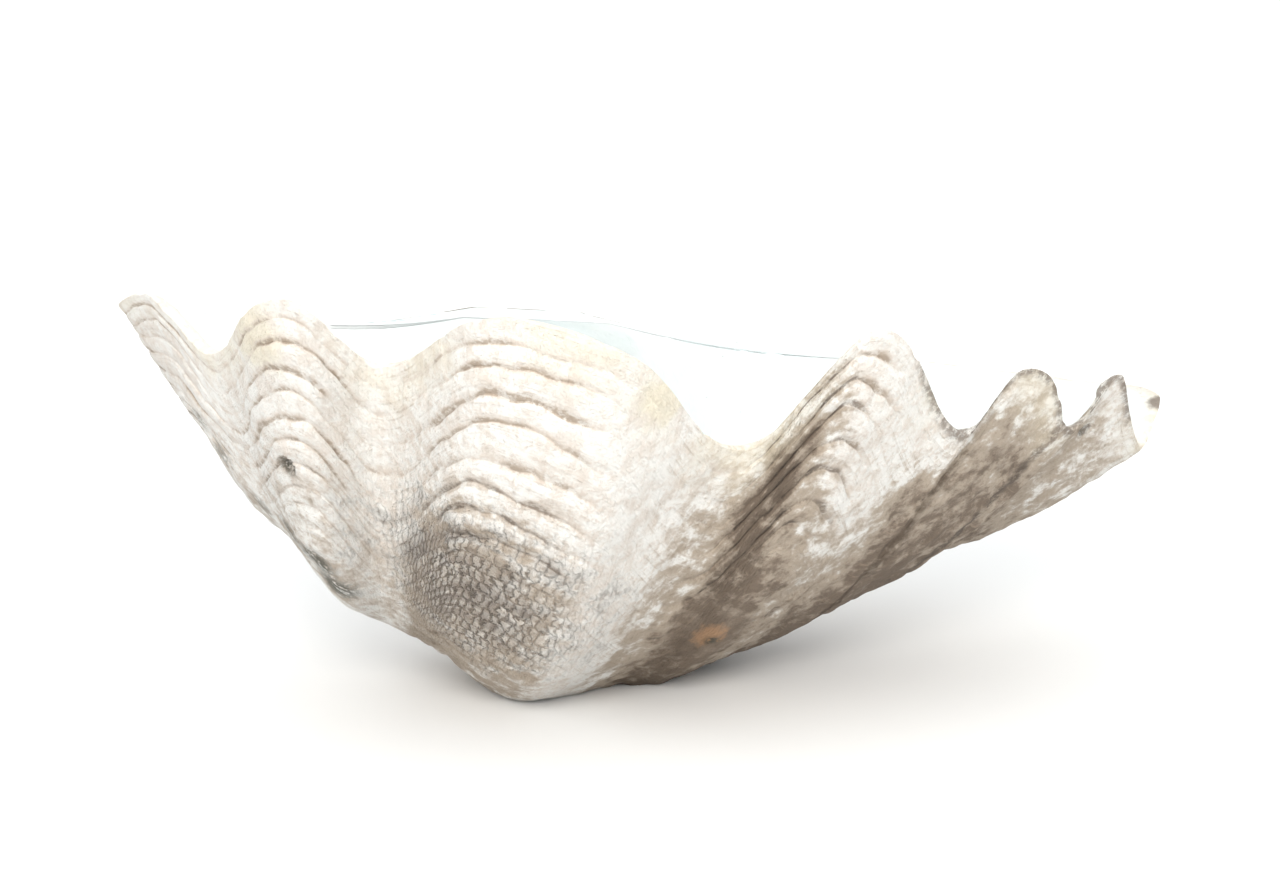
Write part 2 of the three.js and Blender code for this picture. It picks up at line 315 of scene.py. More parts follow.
# Beads low on the middle fold: their scale, how far blotch and mottle bend their rows, and dirt.
BEAD_SCALE = 100
BEAD_BREADTH = 0.75
BEAD_HEIGHT = 1.7
BEAD_GROOVE = 0.2
BEAD_GROOVE_SOFTNESS = 0.9
BEAD_SHIFT = 0.5
BEAD_BENDS_ALONG = (0.02, 0.009)
BEAD_BENDS_UP = (0.03, 0.014)
BEAD_PATCHES = (0.3, 0.7, 0.4, 0.95)
HATCH = (0.52, 0.62, 0.0, 0.375)
HATCH_ELSEWHERE = 0.03
BAND_DIRT = (0.48, 0.6, 0.0, 0.6)
TOP_ROW_FOOT = (0.785, 0.8, 0.0, 0.65)
TOP_ROW_HEAD = (0.84, 0.815)

# Dirt of the ledges, from its pale border to its darkest lines. The pinkish border is partly dirt and
# partly painted shade.
LEDGE_PATCHES = (0.4, 0.56, 0.3, 1.05)
LEDGE_BORDER_DIRT_AND_SHADE = (0.0, 0.6)
LEDGE_BORDER_DIRT_AND_SHADE_BY_STAIN = (0.6, 0.2, 0.0, 0.7)
LEDGE_DIRT = (0.4, 1.0, 0.0, 0.78)
DARK_LEDGES_BY_STAIN = (0.05, 0.4)
DARKEST_LEDGES_BY_STAIN = (0.5, 0.9)

# Marks of the bowl and hinge.
PAINTED_COOL_SHADE_PATCHES = (0.35, 0.7)
RING_MARKS = (0.5, 0.72, 0.0, 0.35)
MANTLE_LINE = 0.76  # size at which the soft body's edge held on
MANTLE_LINE_BREADTH = (0.014, 0.004)
MANTLE_LINE_STRENGTH = 0.4
BOWL_YELLOW_RIM = (0.84, 1.0, 0.0, 0.5)
BOWL_YELLOW_PATCHES = (0.4, 0.62)
SPECK_MARKS = (0.72, 0.76, 0.0, 0.45)
LIGAMENT_MARKS = (0.5, 0.6, 0.0, 0.6)

# Roughness, and depths in metres: lines, mottle, riblets, beads and grain outside, and rings, dents,
# mantle line and muscle scar inside.
CHALK_ROUGHNESS = 0.82
BOWL_ROUGHNESS = (0.3, 0.7, 0.32, 0.45)
OUTSIDE_DEPTHS = (0.003, 0.0035, 0.002, 0.0012, 0.0006)
INSIDE_DEPTHS = (0.0012, 0.0006, 0.0004, 0.0008)
INSIDE_FROM = 0.9  # how far within a face has to be for the bowl's finish

# Camera about the beak in mm and degrees, and light in the part's frame.
CAMERA_HEADING = 18
CAMERA_RISE = 7
CAMERA_TARGET = (97, -180, 0)
CAMERA_DISTANCE = 1332
CAMERA_SHIFT = -0.0707
CAMERA_SENSOR = 36
CAMERA_LENS = 55
KEY_PLACE = (-0.8, -2.3, 1.5)
KEY_TARGET = (0, 0, 0.15)
KEY_SIZE = 1.0
KEY_POWER = 52
SWEEP_LIGHT_PLACE = (1.5, 2.5, 3.5)
SWEEP_LIGHT_TARGET = (2.2, 6.3, 0.9)
SWEEP_LIGHT_SIZE = 6
SWEEP_LIGHT_POWER = 110
LIGHT_COLOUR = (1.0, 0.97, 0.92)
SKY_COLOUR = (0.97, 0.99, 1.0, 1)
SKY_STRENGTH = 1.2
SWEEP_ROWS = 80
SWEEP_WIDTH = 16
SWEEP_FRONT = 7
SWEEP_FLAT = 11
SWEEP_CURVE = 3
SWEEP_WALL = 3
FLOOR_COLOUR = (0.86, 0.86, 0.855, 1)
FLOOR_ROUGHNESS = 0.9


# Growth

STATIONS = np.array([(x, front, up, drive, lag) for x, front, up, drive, _, lag in RIM], float)
ROUNDNESS = np.array([roundness for _, _, _, _, roundness, _ in RIM])
CHORDS = np.hypot(np.diff(STATIONS[:, X]), np.diff(STATIONS[:, FRONT]))


def station_slopes():
    """Change of the rim's values at each station, for each mm of its plan."""
    slopes = np.zeros_like(STATIONS)
    for i in range(STRETCHES + 1):
        before, after = max(i - 1, 0), min(i + 1, STRETCHES)
        span = CHORDS[before:after].sum()
        slopes[i] = (STATIONS[after] - STATIONS[before]) / span * ROUNDNESS[i]
    return slopes


SLOPES = station_slopes()


def rim_at(u):
    """Rim values at the places u, which count stations from the left end of the hinge."""
    place = np.clip(u, 0, STRETCHES)
    i = np.minimum(place.astype(int), STRETCHES - 1)
    t = (place - i)[..., None]
    length = CHORDS[i][..., None]
    start = STATIONS[i] * (2 * t**3 - 3 * t**2 + 1)
    leave = SLOPES[i] * length * (t**3 - 2 * t**2 + t)
    end = STATIONS[i + 1] * (3 * t**2 - 2 * t**3)
    arrive = SLOPES[i + 1] * length * (t**3 - t**2)
    return start + leave + end + arrive


def soft_rim_at(u, reach):
    """Rim with its folds rounded off over the stations within reach."""
    room = np.clip(np.minimum(np.minimum(u, STRETCHES - u), reach), 0, None)
    shares = [(2 * k + 1) / SOFTENING_STEPS - 1 for k in range(SOFTENING_STEPS)]
    return sum(rim_at(u + room * share) for share in shares) / SOFTENING_STEPS


def grow(rim, size):
    """Points that grew from the rim values, at a size from 0 at the beak to 1 at the rim."""
    turn = np.log(1 / size) / SPIRAL
    swing = rim[..., FRONT] * np.cos(turn) + FOLD_SWING * rim[..., UP] * np.sin(turn)
    rise = rim[..., UP] * np.cos(turn) - rim[..., DRIVE] * np.sin(turn)
    return np.stack(
        (
            rim[..., X] * size**WIDTH_POWER,
            -size * swing,
            size * rise + BEAK_RISE * (1 - size) ** 4,
        ),
        axis=-1,
    )


def size_at(rim, stage):
    """Size that a growth line has reached at a stage, less in a valley."""
    return stage - LAG * rim[..., LAG_SHARE] * stage**2 * (1 - stage)


def outside(u, stage):
    share = np.minimum(stage / FOLDS_WHOLE, 1)[..., None]
    rim = soft_rim_at(u, FOLD_REACH) * (1 - share) + rim_at(u) * share
    return grow(rim, size_at(rim, stage))


def unit(vectors):
    return vectors / np.maximum(np.linalg.norm(vectors, axis=-1, keepdims=True), 1e-9)


def growth_direction(u, stage):
    return unit(outside(u, np.minimum(stage + STEP, 1)) - outside(u, stage - STEP))


def outward(u, stage):
    across = outside(u + STEP, stage) - outside(u - STEP, stage)
    return unit(np.cross(across, growth_direction(u, stage)))


def bowl(u, stage):
    """Points of the inside: softer folds, a thicker floor and a broad hinge."""
    nearness = np.clip((stage - LIP_START) / (1 - LIP_START), 0, 1)
    nearness = nearness**2 * (3 - 2 * nearness) * rim_at(u)[..., LAG_SHARE] ** 2
    reach = LIP_REACH + (EDGE_REACH - LIP_REACH) * nearness
    softness = (BOWL_SOFTENING * (1 - stage))[..., None]
    rim = soft_rim_at(u, reach) * (1 - softness) + soft_rim_at(u, FOLD_REACH) * softness
    ahead = soft_rim_at(u + STEP, reach) - soft_rim_at(u - STEP, reach)
    across = unit(ahead[..., :2])
    rim[..., X] += across[..., 1] * RIM_WALL
    rim[..., FRONT] -= across[..., 0] * RIM_WALL
    rim[..., X] *= 1 - SIDE_SHARE * (1 - stage)
    rim[..., DRIVE] *= 1 - FLOOR_SHARE
    points = grow(rim, size_at(rim, stage))
    points[..., 1] -= HINGE_PLATE * (1 - stage) ** 3
    return points


def as_it_lies(points):
    """Points leaned as the shell lies, in metres in the part's frame."""
    side = np.array(
        (
            (math.cos(LEAN_SIDE), 0, math.sin(LEAN_SIDE)),
            (0, 1, 0),
            (-math.sin(LEAN_SIDE), 0, math.cos(LEAN_SIDE)),
        )
    )
    front = np.array(
        (
            (1, 0, 0),
            (0, math.cos(LEAN_FRONT), -math.sin(LEAN_FRONT)),
            (0, math.sin(LEAN_FRONT), math.cos(LEAN_FRONT)),
        )
    )
    return (points @ (side @ front).T + np.array(BEAK)) * MM


def wander(first, second):
    """Smooth chance values, about -1 to 1, over two running numbers."""
    pairs = zip(np.ravel(first).tolist(), np.ravel(second).tolist())
    values = [noise.noise(Vector((a, b, CHANCE_PLANE))) for a, b in pairs]
    return np.array(values).reshape(np.shape(first)) * CHANCE_SPREAD


def lumps(points, size):
    """Smooth chance heights, about -1 to 1, of lumps of the given size."""
    flat = (points.reshape(-1, 3) / size).tolist()
    values = [noise.noise(Vector(place)) for place in flat]
    return np.array(values).reshape(points.shape[:-1]) * CHANCE_SPREAD


# The map of the shell's growth

FINE_PLACES = np.linspace(0, STRETCHES, FINE_COLUMNS)
FINE_RIM = rim_at(FINE_PLACES)[:, :3]
FINE_STEPS = np.linalg.norm(np.diff(FINE_RIM, axis=0), axis=1)
FINE_LENGTHS = np.concatenate(((0,), np.cumsum(FINE_STEPS)))
RIM_LENGTH = FINE_LENGTHS[-1]
PLACES = np.interp(np.linspace(0, RIM_LENGTH, COLUMNS + 1), FINE_LENGTHS, FINE_PLACES)
ALONG = np.interp(PLACES, FINE_PLACES, FINE_LENGTHS)


def smooth_step(values, low, high):
    share = np.clip((values - low) / (high - low), 0, 1)
    return share**2 * (3 - 2 * share)


def chance(pattern, k=0):
    """Chance values of a pattern for layer k, all along the rim."""
    wave, row_step, first_row = pattern
    return wander(ALONG / wave, np.full_like(PLACES, row_step * k + first_row))


def lip_sizes(k):
    """Size at which layer k ended, all along the rim."""
    if k < 0:
        return np.full_like(PLACES, FIRST_LAYER)
    height = LIPS[k] - (LIPS[k - 1] if k else FIRST_LAYER)
    if k == len(LIPS) - 1:
        return np.full_like(PLACES, 1.0)
    wandering = LIP_WANDER * chance(LIP_WAVES, k) + LIP_FRILL * chance(LIP_FRILLS, k)
    return LIPS[k] + height * wandering


def lip_boldness(k):
    """How much of lip k is left all along the rim: worn on the right, broken here and there."""
    left = LIP_MEAN + LIP_CHANCE * chance(LIP_BREAKS, k) + LIP_CHANCE * chance(LIP_CRUMBS, k)
    boldness = np.clip(left, *LIP_LIMITS)
    boldness *= np.interp(LIPS[k], *zip(*LIP_WEAR_BY_SIZE))
    boldness *= np.interp(PLACES, *zip(*LIP_WEAR_BY_STATION))
    on_the_right = np.clip((PLACES - RIGHT_FROM) / RIGHT_FADE, 0, 1)
    return boldness * (1 - on_the_right * (1 - np.interp(LIPS[k], *zip(*RIGHT_WEAR_BY_SIZE))))


def stains_and_shade(stage):
    """How stained the outside is, from bleached 0 to brown 1, by station and size, with painted shade
    making it darker further down and on faces that look down.
    """
    edge, upper, lower = (
        np.interp(PLACES, *zip(*table)) for table in (STAIN_AT_RIM, STAIN_NEAR_RIM, STAIN_AND_SHADE_BELOW)
    )
    near_rim = smooth_step(stage, *NEAR_RIM_SIZES)
    at_rim = smooth_step(stage, *AT_RIM_SIZES)
    places = np.broadcast_to(PLACES, stage.shape)
    # Painted shade: darker where a face looks down.
    down = -outward(places, np.maximum(stage, BEAK_SIZES[0] + STEP))[..., 2]
    sides = sum(
        np.clip(places - first, 0, 1) * np.clip(last - places, 0, 1)
        for first, last in (LEFT_UNDERSIDE, RIGHT_UNDERSIDE)
    )
    under = np.clip((down - UNDERSIDE_LOOK) / UNDERSIDE_FADE, 0, 1) * sides
    tone = lower + (upper - lower) * near_rim
    return tone + (edge - tone) * at_rim + UNDERSIDE_SHADE * under


def outer_rows():
    """Rows of the outside from the beak to the rim, with their sizes and dirt, which also sets
    painted shade round the ledges.
    """
    rows, sizes, dirt_and_shade = [], [], []
    first = outside(PLACES, np.full_like(PLACES, BEAK_SIZES[0]))
    pole = (first[0] + first[-1]) / 2
    for share in CAP_SHARES:
        rows.append(pole + (first - pole) * share)
        sizes.append(np.full_like(PLACES, BEAK_SIZES[0] * share))
        dirt_and_shade.append(np.zeros_like(PLACES))
    for size in BEAK_SIZES:
        rows.append(outside(PLACES, np.full_like(PLACES, size)))
        sizes.append(np.full_like(PLACES, size))
        dirt_and_shade.append(np.zeros_like(PLACES))
    fade = np.clip(np.minimum(PLACES, STRETCHES - PLACES) / END_FADE, 0, 1)
    crest = fade * (1 - VALLEY_EASE * rim_at(PLACES)[:, LAG_SHARE])
    for k in range(len(LIPS)):
        start, end = lip_sizes(k - 1), lip_sizes(k)
        height = np.linalg.norm(outside(PLACES, end) - outside(PLACES, start), axis=1)
        boldness = lip_boldness(k)
        dashes = np.clip(DASH_MEAN + DASH_CHANCE * chance(DIRT_DASHES, k), *DASH_LIMITS)
        caught = DIRT_IN_VALLEYS + (1 - DIRT_IN_VALLEYS) * crest
        for share, lift, grime_and_shade in WORN_LAYER if LIPS[k] < WORN_BELOW else LAYER:
            size = start + (end - start) * share
            points = outside(PLACES, size)
            rise = LIP_FLARE * height * crest * boldness * lift
            rows.append(points + outward(PLACES, size) * rise[:, None])
            sizes.append(size)
            polish = LIP_POLISH * lift**4 * boldness * crest
            dirt_and_shade.append(grime_and_shade * dashes * boldness**1.5 * caught - polish)
    return np.array(rows), np.array(sizes), np.array(dirt_and_shade)


def worn(points, sizes):
    """Outside with lumps and pits, and how deep the pits are."""
    u = np.broadcast_to(PLACES, sizes.shape)
    stage = np.maximum(sizes, BEAK_SIZES[0] + STEP)
    out = outward(u, stage)
    rise = BROAD_LUMP[1] * lumps(points, BROAD_LUMP[0])
    rise += SMALL_LUMP[1] * lumps(points, SMALL_LUMP[0]) * (CLEAN_LUMPS + stains_and_shade(sizes))
    rise *= np.clip(sizes / LUMPS_WHOLE, 0, 1)
    rise *= np.clip(np.minimum(u, STRETCHES - u) / END_FADE, 0, 1)
    hollow = np.zeros_like(sizes)
    for place, size, radius, depth in PITS:
        centre = outside(np.array(place), np.array(size))
        near = np.linalg.norm(points - centre, axis=-1) / radius
        hollow = np.maximum(hollow, depth * np.clip(1 - near**2, 0, 1) ** 1.5)
    return points + out * (rise - hollow)[..., None], hollow


def shell_map():
    """The map's points, row by row, with size, dirt with painted shade in the valleys, and how far
    within, and its counts of rows.
    """
    outer, sizes, dirt_and_shade = outer_rows()
    outer, hollow = worn(outer, sizes)
    dirt_and_shade += np.clip(hollow / PIT_DIRT_DEPTH, 0, PIT_DIRT_MOST)
    # Painted shade: darker in the creases of the valleys between the right-hand folds.
    upper = smooth_step(sizes, *VALLEY_SHADE_SIZES)
    for place, reach, amount in VALLEY_SHADE:
        dirt_and_shade += amount * np.exp(-(((PLACES - place) / reach) ** 2)) * upper
    ones = np.ones_like(PLACES)
    chips = np.clip(chance(RIM_CHIPS) - CHIP_START, 0, 1) * RIM_CHIP
    back = growth_direction(PLACES, ones) * chips[:, None]
    outer[-1] -= back
    inner = np.array([bowl(PLACES, ones * size) for size in BOWL_SIZES])
    inner[0] -= back
    pole = (inner[-1][0] + inner[-1][-1]) / 2
    bowl_end = [pole + (inner[-1] - pole) * share for share in BOWL_END_SHARES]
    inner = np.concatenate((inner, bowl_end))
    bulge = growth_direction(PLACES, ones) * EDGE_ROUND
    edge = [
        outer[-1] * (1 - t) + inner[0] * t + bulge * math.sin(math.pi * t) for t in EDGE_SHARES
    ]
    bowl_sizes = BOWL_SIZES + (BOWL_END_SIZE,) * len(bowl_end)
    points = np.concatenate((outer, edge, inner))
    stage = np.concatenate((sizes, [ones] * len(edge), [ones * s for s in bowl_sizes]))
    drawn = np.clip(stage / TIP_FADE - TIP_START, 0, 1) ** 2
    for place, reach, rise, shift in TIP_LIFTS:
        near = np.exp(-(((PLACES - place) / reach) ** 2)) * drawn
        points += near[..., None] * np.array((shift, 0, rise))
    grime_and_shade = np.concatenate((dirt_and_shade, [ones * 0] * (len(edge) + len(inner))))
    hinge = np.clip(HINGE_WHITE - np.minimum(PLACES, STRETCHES - PLACES) / HINGE_EDGE, 0, 1)
    over_edge = [ones * t for t in EDGE_SHARES]
    within = np.concatenate((hinge + 0 * sizes, over_edge, [ones] * len(inner)))
    return points, stage, grime_and_shade, within, len(outer), len(inner)


def add_map(columns, rows, name):
    """A flat grid of the given rows and columns, with each point's row and column."""
    bpy.ops.object.select_all(action="DESELECT")
    bpy.ops.mesh.primitive_grid_add(
        x_subdivisions=columns, y_subdivisions=rows, size=2, calc_uvs=False
    )
    piece = bpy.context.object
    piece.name = name
    flat = np.empty(len(piece.data.vertices) * 3)
    piece.data.vertices.foreach_get("co", flat)
    flat = flat.reshape(-1, 3)
    column = np.rint((flat[:, 0] + 1) / 2 * columns).astype(int)
    row = np.rint((flat[:, 1] + 1) / 2 * rows).astype(int)
    return piece, row, column


def put(piece, points):
    piece.data.vertices.foreach_set("co", np.ascontiguousarray(points, float).ravel())
    piece.data.update()


def note(piece, name, values):
    """Keeps a number, or three, with each point of a piece, for its finish."""
    kind, slot = ("FLOAT_VECTOR", "vector") if values.ndim == 2 else ("FLOAT", "value")
    attribute = piece.data.attributes.get(name) or piece.data.attributes.new(name, kind, "POINT")
    attribute.data.foreach_set(slot, np.ascontiguousarray(values, np.float32).ravel())


def only(piece):
    bpy.ops.object.select_all(action="DESELECT")
    piece.select_set(True)
    bpy.context.view_layer.objects.active = piece


def shell_piece():
    """The shell's map put in place, and the two lines of its hinge, each from left to right."""
    points, stage, grime_and_shade, within, outer_count, inner_count = shell_map()
    shell, row, column = add_map(COLUMNS, len(points) - 1, "half_shell_grown")
    put(shell, as_it_lies(points[row, column]))
    fold = 1 - np.clip(rim_at(PLACES)[:, LAG_SHARE], 0, 1)
    note(shell, "growth", np.stack((ALONG[column] * MM, stage[row, column], fold[column]), axis=1))
    note(shell, "grime_and_shade", grime_and_shade[row, column])
    note(shell, "within", within[row, column])
    note(shell, "stain_and_shade", stains_and_shade(stage)[row, column])
    outer_line = np.concatenate((points[:outer_count, 0][::-1], points[1:outer_count, COLUMNS]))
    inner = points[-inner_count:]
    inner_line = np.concatenate((inner[:, 0], inner[::-1][1:, COLUMNS]))
    return shell, outer_line, inner_line


def hinge_piece(outer_line, inner_line):
    """Top of the hinge between its two lines, with teeth and the groove of the ligament."""
    plate, row, column = add_map(len(outer_line) - 1, PLATE_ROWS, "hinge_plate")
    count = len(inner_line)
    matches = np.linspace(0, count - 1, len(outer_line))
    between = [np.interp(matches, np.arange(count), inner_line[:, k]) for k in range(3)]
    front_line = np.stack(between, axis=1)[column]
    front_line[row == 0] = inner_line[np.rint(matches).astype(int)][column][row == 0]
    back = row / PLATE_ROWS
    points = front_line * (1 - back)[:, None] + outer_line[column] * back[:, None]
    inner_share = np.clip(TEETH_AT_FRONT * back, 0, 1) * np.clip(TEETH_AT_BACK * (1 - back), 0, 1)
    for x, depth, length, breadth, height in TEETH:
        along = (points[:, 0] - x) / length
        across = (back - depth) / breadth
        points[:, 2] += height * np.exp(-(along**2) - across**2) * inner_share
    put(plate, as_it_lies(points))
    front_size, back_adds = PLATE_SIZE
    growth = (points[:, 0] * MM, front_size + back_adds * back, PLATE_FOLD + 0 * back)
    note(plate, "growth", np.stack(growth, axis=1))
    band = np.clip(LIGAMENT_BAND[0] * back - LIGAMENT_BAND[1], 0, 1)
    note(plate, "grime_and_shade", band * np.clip(-LIGAMENT_SIDE[0] - points[:, 0] / LIGAMENT_SIDE[1], 0, 1))
    note(plate, "within", 1 + 0 * back)
    note(plate, "stain_and_shade", 0 * back)
    return plate


def make_shell():
    shell, outer_line, inner_line = shell_piece()
    plate = hinge_piece(outer_line, inner_line)
    only(shell)
    plate.select_set(True)
    bpy.ops.object.join()
    bpy.ops.object.mode_set(mode="EDIT")
    bpy.ops.mesh.select_all(action="SELECT")
    bpy.ops.mesh.remove_doubles(threshold=MERGE_DISTANCE)
    bpy.ops.mesh.select_all(action="SELECT")
    bpy.ops.mesh.fill_holes(sides=0)
    bpy.ops.mesh.select_all(action="SELECT")
    bpy.ops.mesh.bisect(plane_co=(0, 0, 0), plane_no=(0, 0, 1), use_fill=True, clear_inner=True)
    bpy.ops.mesh.select_all(action="SELECT")
    bpy.ops.mesh.normals_make_consistent(inside=False)
    bpy.ops.object.mode_set(mode="OBJECT")
    bpy.ops.object.shade_smooth_by_angle(angle=SMOOTH_ANGLE)
    return shell


# Finishes

def feed(tree, node, place, value):
    """Gives a node's input a plain value or another node's output."""
    if isinstance(value, bpy.types.NodeSocket):
        tree.links.new(value, node.inputs[place])
    else:
        node.inputs[place].default_value = value


def add(tree, kind, links=(), **settings):
    """A node with its settings, and its inputs as (place, value)."""
    node = tree.nodes.new(kind)
    for name, value in settings.items():
        setattr(node, name, value)
    for place, value in dict(links).items():
        feed(tree, node, place, value)
    return node


def attribute(tree, name):
    return add(tree, "ShaderNodeAttribute", attribute_name=name).outputs["Fac"]


def noise_field(tree, vector, scale, detail, roughness):
    links = {"Vector": vector, "Scale": scale, "Detail": detail, "Roughness": roughness}
    return add(tree, "ShaderNodeTexNoise", links).outputs["Fac"]


def ramp(tree, value, low, high, to_low=0.0, to_high=1.0):
    """Smooth rise from one strength to another as a value goes from low to high."""
    links = {"Value": value, "From Min": low, "From Max": high, "To Min": to_low, "To Max": to_high}
    node = add(tree, "ShaderNodeMapRange", links, interpolation_type="SMOOTHSTEP")
    return node.outputs["Result"]


def maths(tree, operation, *values):
    links = dict(enumerate(values))
    return add(tree, "ShaderNodeMath", links, operation=operation).outputs[0]


def add_share(tree, first, share, second):
    """The first value times its share, added to the second."""
    return maths(tree, "MULTIPLY_ADD", first, share, second)


def times(tree, first, *others):
    for other in others:
        first = maths(tree, "MULTIPLY", first, other)
    return first


def mix(tree, share, first, second):
    links = {"Factor": share, 6: first, 7: second}
    return add(tree, "ShaderNodeMix", links, data_type="RGBA").outputs[2]


def near_spot(tree, place, spot, radius, rough, core=SPOT_CORE):
    """1 at a spot on the shell and 0 beyond its radius, with a ragged border."""
    links = {0: place, 1: spot}
    offset = add(tree, "ShaderNodeVectorMath", links, operation="DISTANCE").outputs["Value"]
    distance = add_share(tree, rough, SPOT_RAGGED * radius, offset)
    return ramp(tree, distance, SPOT_REACH * radius, core * radius)


def growth_coordinates(tree):
    """Place on the shell, how far along the rim, at what size and how near a crest it grew."""
    place = add(tree, "ShaderNodeTexCoord").outputs["Object"]
    growth = add(tree, "ShaderNodeAttribute", attribute_name="growth").outputs["Vector"]
    parts = add(tree, "ShaderNodeSeparateXYZ", {0: growth}).outputs
    return place, parts[0], parts[1], parts[2]


def scaled(tree, first, first_scale, second, second_scale):
    """A flat pattern vector from two running numbers."""
    links = {0: times(tree, first, first_scale), 1: times(tree, second, second_scale)}
    return add(tree, "ShaderNodeCombineXYZ", links).outputs[0]


def growth_field(tree, along, stage, along_scale, stage_scale, detail, roughness):
    vector = scaled(tree, along, along_scale, stage, stage_scale)
    return noise_field(tree, vector, 1.0, detail, roughness)


def finish(name, colour_and_bumps):
    """A material whose colour, roughness and bumps, each a height and a depth, a function gives."""
    material = bpy.data.materials.new(name)
    material.use_nodes = True
    tree = material.node_tree
    shader = tree.nodes["Principled BSDF"]
    colour, rough, bumps = colour_and_bumps(tree)
    feed(tree, shader, "Base Color", colour)
    feed(tree, shader, "Roughness", rough)
    normal = None
    for height, depth in bumps:
        links = {"Height": height, "Distance": depth}
        if normal is not None:
            links["Normal"] = normal
        normal = add(tree, "ShaderNodeBump", links).outputs[0]
    feed(tree, shader, "Normal", normal)
    return material


def bead_pattern(tree, vector):
    """Short upright beads in rows: their colours, and 1 in the grooves between them."""
    links = {
        "Vector": vector,
        "Color1": BEAD,
        "Color2": GREY,
        "Mortar": CREVICE,
        "Scale": 1.0,
        "Mortar Size": BEAD_GROOVE,
        "Mortar Smooth": BEAD_GROOVE_SOFTNESS,
        "Bias": 0.0,
        "Brick Width": BEAD_BREADTH,
        "Row Height": BEAD_HEIGHT,
    }
    outputs = add(tree, "ShaderNodeTexBrick", links, offset=BEAD_SHIFT).outputs
    return outputs["Color"], outputs["Fac"]


def bent(tree, value, blotch, mottle, bends):
    """A running number bent this way and that by two patterns."""
    by_blotch, by_mottle = bends
    return add_share(tree, mottle, by_mottle, add_share(tree, blotch, by_blotch, value))


